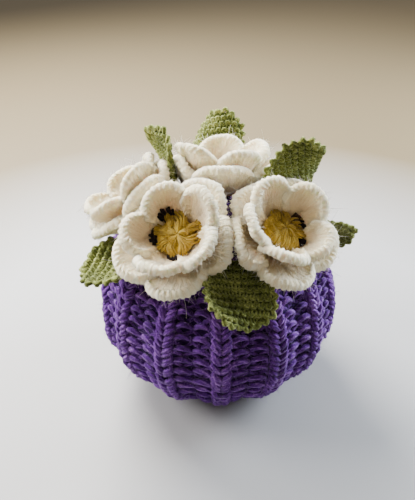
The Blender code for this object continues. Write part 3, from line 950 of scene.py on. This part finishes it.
def knitted_leaf(leaf, materials):
    """A leaf's thin cloth, dark green as painted shade between the stitches, the garter stitches on both its
    faces, and its scalloped edge.
    """
    name = "leaf_" + leaf.name
    cloth, stitches = Yarns(), Yarns()
    share, along = np.meshgrid(np.linspace(-1.0, 1.0, 25), 0.5 - 0.5 * np.cos(np.linspace(0.04, np.pi - 0.02, 30)))
    across = share * leaf_half_width(along) * 0.985
    thick = np.full(share.shape, LEAF_CLOTH_HALF)
    thick[0] = thick[-1] = 0.0
    thick[:, 0] = thick[:, -1] = 0.0
    upper, _ = on_leaf(leaf, along, across, thick)
    lower, _ = on_leaf(leaf, along, across, -thick)
    cloth.pillow(upper, lower, share, along * 8.0)
    courses = int(leaf.length * 0.94 / LEAF_COURSE)
    path = [[], [], []]
    for course in range(courses):
        centre = 0.035 + (course + 0.5) * LEAF_COURSE / leaf.length
        if centre > 0.975:
            break
        half = float(leaf_half_width(np.array(centre))) * 0.93
        count = max(2, round(2.0 * half * leaf.width / LEAF_STITCH))
        t = np.linspace(0.0, 2.0 * np.pi * count, 9 * count, endpoint=False)
        across_now = -half + 2.0 * half * (t / (2.0 * np.pi) + 0.13 * np.sin(2.0 * t)) / count
        wobble = np.repeat(random.normal(0.0, 0.00022, count), 9)
        along_now = centre + (-LEAF_COURSE * 0.82 * np.cos(t) + wobble) / leaf.length
        face = 1.0 if course % 2 else -1.0
        depth = LEAF_DEPTH * (np.where(np.cos(t) > 0.0, 0.35, 1.15) * np.cos(t) * face)
        step = -1 if course % 2 else 1
        for part, values in zip(path, (along_now, across_now, depth)):
            part.append(values[::step])
    along_all, across_all, depth_all = (np.concatenate(part) for part in path)
    along_all = np.clip(along_all, 0.01, 0.99)
    points, normals = on_leaf(leaf, along_all, across_all, depth_all)
    stitches.tube(points, LEAF_YARN, normals, sides=5, twist=0.0055)
    scalloped_edge(stitches, leaf)
    # The sheet is dark green: painted shade that shows between the rows of stitches.
    sheet = cloth.finish(name + "_cloth", materials["leaf_shade"], "green_yarn")
    knit = stitches.finish(name + "_stitches", materials["green"], "green_yarn")
    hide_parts(name)


def scalloped_edge(stitches, leaf):
    """Rounded loops all round the leaf's edge."""
    turn = np.linspace(0.0, 2.0 * np.pi, 400)
    along = 0.5 - 0.5 * np.cos(turn)
    across = np.sin(turn) * (1.0 - LEAF_STEM_TAPER * np.cos(turn)) / 2.0
    edge, _ = on_leaf(leaf, along, across, np.zeros(400))
    run = np.concatenate(([0.0], np.cumsum(np.linalg.norm(np.diff(edge, axis=0), axis=1))))
    count = int(round(run[-1] / LEAF_SCALLOP))
    place = np.linspace(0.0, run[-1], count * 12 + 1)
    around = np.interp(place, run, turn)
    phase = np.pi * place / run[-1] * count
    uneven = 1.0 + 0.28 * np.sin(2.3 * phase / np.pi + leaf.heading)
    wave = np.abs(np.sin(phase)) ** 0.55
    grow = 1.0 + (-0.0013 + 0.0024 * wave * uneven) / (leaf.width / 2.0)
    along = 0.5 - 0.5 * np.cos(around + 0.0011 / leaf.width * np.sin(2.0 * phase) * 2.0) * grow
    across = np.sin(around) * (1.0 - LEAF_STEM_TAPER * np.cos(around)) / 2.0 * grow
    off = 0.0005 * np.cos(2.0 * phase) + 0.0006 * np.sin(phase / 3.7)
    points, normals = on_leaf(leaf, np.clip(along, -0.04, 1.04), across, off)
    stitches.tube(points, LEAF_EDGE + 0.00022 * np.cos(2.0 * phase + np.pi), normals, sides=6, twist=0.0055)


# Camera, floor and light

CAMERA_FOCAL = 560.0
CAMERA_DISTANCE = 0.405
CAMERA_DROP = math.radians(38.0)
CAMERA_AIM = Vector((0.0, 0.0, 0.060))
CAMERA_SHIFT = (9.4, 43.0)
LONG_SIDE = 500.0
FLOOR_REACH = 6.0


def add_camera():
    """The photograph's own view."""
    back = Vector((0.0, -math.cos(CAMERA_DROP), math.sin(CAMERA_DROP)))
    up = Vector((0.0, math.sin(CAMERA_DROP), math.cos(CAMERA_DROP)))
    right = Vector((1.0, 0.0, 0.0))
    yaw = math.atan(CAMERA_SHIFT[0] / CAMERA_FOCAL)
    pitch = math.atan(CAMERA_SHIFT[1] / CAMERA_FOCAL)
    ahead = -back * math.cos(pitch) + up * math.sin(pitch)
    top = up * math.cos(pitch) + back * math.sin(pitch)
    look = ahead * math.cos(yaw) - right * math.sin(yaw)
    beside = right * math.cos(yaw) + ahead * math.sin(yaw)
    data = bpy.data.cameras.new("camera")
    data.sensor_width = 36.0
    data.lens = CAMERA_FOCAL * data.sensor_width / LONG_SIDE
    data.clip_start = 0.01
    item = bpy.data.objects.new("camera", data)
    placed = Matrix((beside, top, -look)).transposed().to_4x4()
    placed.translation = CAMERA_AIM + back * CAMERA_DISTANCE + Vector(AXIS)
    item.matrix_world = placed
    bpy.context.scene.collection.objects.link(item)
    bpy.context.scene.camera = item


def add_floor():
    """A plain pale floor that warms gently into the distance."""
    mesh = bpy.data.meshes.new("floor")
    corners = [(x * FLOOR_REACH, y * FLOOR_REACH, 0.0) for x, y in ((-1, -1), (1, -1), (1, 1), (-1, 1))]
    mesh.from_pydata(corners, [], [(0, 1, 2, 3)])
    shader = Shader("pale_floor")
    place = shader.node("ShaderNodeTexCoord").outputs["Object"]
    reach = shader.node("ShaderNodeVectorMath", operation="LENGTH")
    shader.join(place, reach.inputs[0])
    away = shader.math("ADD", shader.math("MULTIPLY", reach.outputs["Value"], 4.5), -0.95)
    colour = shader.ramp(away, ((0.0, (156, 156, 158)), (1.0, (104, 92, 68))))
    shader.join(colour, shader.surface.inputs["Base Color"])
    shader.surface.inputs["Roughness"].default_value = 0.55
    mesh.materials.append(shader.material)
    item = bpy.data.objects.new("floor", mesh)
    bpy.context.scene.collection.objects.link(item)


def add_light(name, place, aim, size, power, colour):
    data = bpy.data.lights.new(name, "AREA")
    data.shape = "RECTANGLE"
    data.size, data.size_y = size
    data.energy = power
    data.color = colour
    item = bpy.data.objects.new(name, data)
    item.location = place
    item.rotation_mode = "QUATERNION"
    item.rotation_quaternion = (Vector(aim) - Vector(place)).to_track_quat("-Z", "Y")
    bpy.context.scene.collection.objects.link(item)


def add_lights():
    """A wide soft window behind and above, a weaker one on each side, and pale light all round."""
    world = bpy.data.worlds.new("studio")
    world.use_nodes = True
    background = world.node_tree.nodes["Background"]
    background.inputs["Color"].default_value = (0.97, 0.89, 0.77, 1.0)
    background.inputs["Strength"].default_value = 0.44
    bpy.context.scene.world = world
    add_light("window", (-0.40, 0.62, 0.80), (0.0, 0.0, 0.10), (0.70, 0.55), 60.0, (1.0, 0.98, 0.93))
    add_light("window_left", (-0.85, 0.10, 0.50), (0.0, 0.0, 0.12), (0.45, 0.45), 20.0, (1.0, 0.98, 0.95))
    add_light("window_right", (0.80, 0.35, 0.40), (0.0, 0.0, 0.07), (0.5, 0.5), 30.0, (0.82, 0.91, 1.0))


def make_materials():
    deep, mid, lit = (36, 6, 64), (92, 40, 134), (176, 126, 210)
    return {
        "purple": yarn_material("purple_wool", ((0.25, deep), (0.55, mid), (0.85, lit)), sheen=0.22,
                                tint=(0.85, 0.70, 0.95, 1.0)),
        "purple_hair": yarn_material("purple_hair", ((0.2, (96, 52, 140)), (0.85, (170, 128, 204))), sheen=0.4),
        # Near-black purple for the sheets behind the stitches: painted shade in the gaps of the knitting.
        "shade": yarn_material("purple_shade", ((0.25, (22, 3, 44)), (0.85, (58, 24, 90))), sheen=0.05),
        "hair": yarn_material("cream_hair", ((0.2, (250, 242, 220)), (0.85, (255, 253, 244))),
                              plies=3.0, sheen=0.6),
        # Cream petals; their last tint is the painted warm shade deep in each cup.
        "petal": crochet_material("cream_crochet", ((0.30, (218, 196, 148)), (0.50, (250, 238, 206)),
                                                    (0.70, (255, 250, 230))),
                                  painted_cup_shade=(0.68, 0.49, 0.26, 1.0), sheen=0.4, soft=0.30),
        "yellow": yarn_material("yellow_wool", ((0.2, (100, 74, 8)), (0.5, (166, 132, 30)),
                                                (0.85, (214, 188, 80))), plies=3.0, sheen=0.2),
        "green": yarn_material("green_wool", ((0.2, (46, 52, 16)), (0.5, (102, 112, 46)),
                                              (0.85, (192, 198, 120))), plies=3.0, sheen=0.3,
                               tint=(0.95, 1.0, 0.7, 1.0)),
        # Dark green for the leaves' sheets: painted shade between the rows of stitches.
        "leaf_shade": yarn_material("green_shade", ((0.25, (34, 40, 12)), (0.85, (84, 94, 36))), sheen=0.05),
        "black": yarn_material("black_thread", ((0.2, (3, 2, 3)), (0.9, (40, 26, 24))),
                               plies=2.0, sheen=0.0),
        "brown": yarn_material("brown_thread", ((0.2, (30, 18, 8)), (0.6, (62, 40, 18)),
                                                (0.9, (110, 80, 40))), plies=2.0, sheen=0.15),
    }


def build():
    add_camera()
    add_floor()
    add_lights()
    materials = make_materials()
    for side, half in ((-1.0, "front"), (1.0, "back")):
        knit = knit_panel(side, "knit_" + half, materials["purple"])
        sheet = backing(side, "cloth_" + half, materials["shade"])
        cover_fuzz(side, "fuzz_" + half, materials["purple_hair"])
        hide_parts("cover_" + half)
    inner_lift = PETAL_THICKNESS + LAYER_GAP
    for flower in FLOWERS:
        stem = "flower_" + flower.name
        outer = petal_round(flower, OUTER, 0.0, OUTER_KEEP, stem + "_outer_petals", materials)
        inner = petal_round(flower, INNER, inner_lift, INNER_KEEP, stem + "_inner_petals", materials)
        flower_centre(flower, inner_lift, stem + "_centre", materials)
        for colour in ("black", "brown"):
            dark_foot_marks(flower, inner_lift, colour, stem, materials)
        hairs = Yarns()
        fuzz(hairs, flower, outer + inner)
        hairs.finish(stem + "_fuzz", materials["hair"], "cream_yarn")
    for leaf in LEAVES:
        knitted_leaf(leaf, materials)


build()
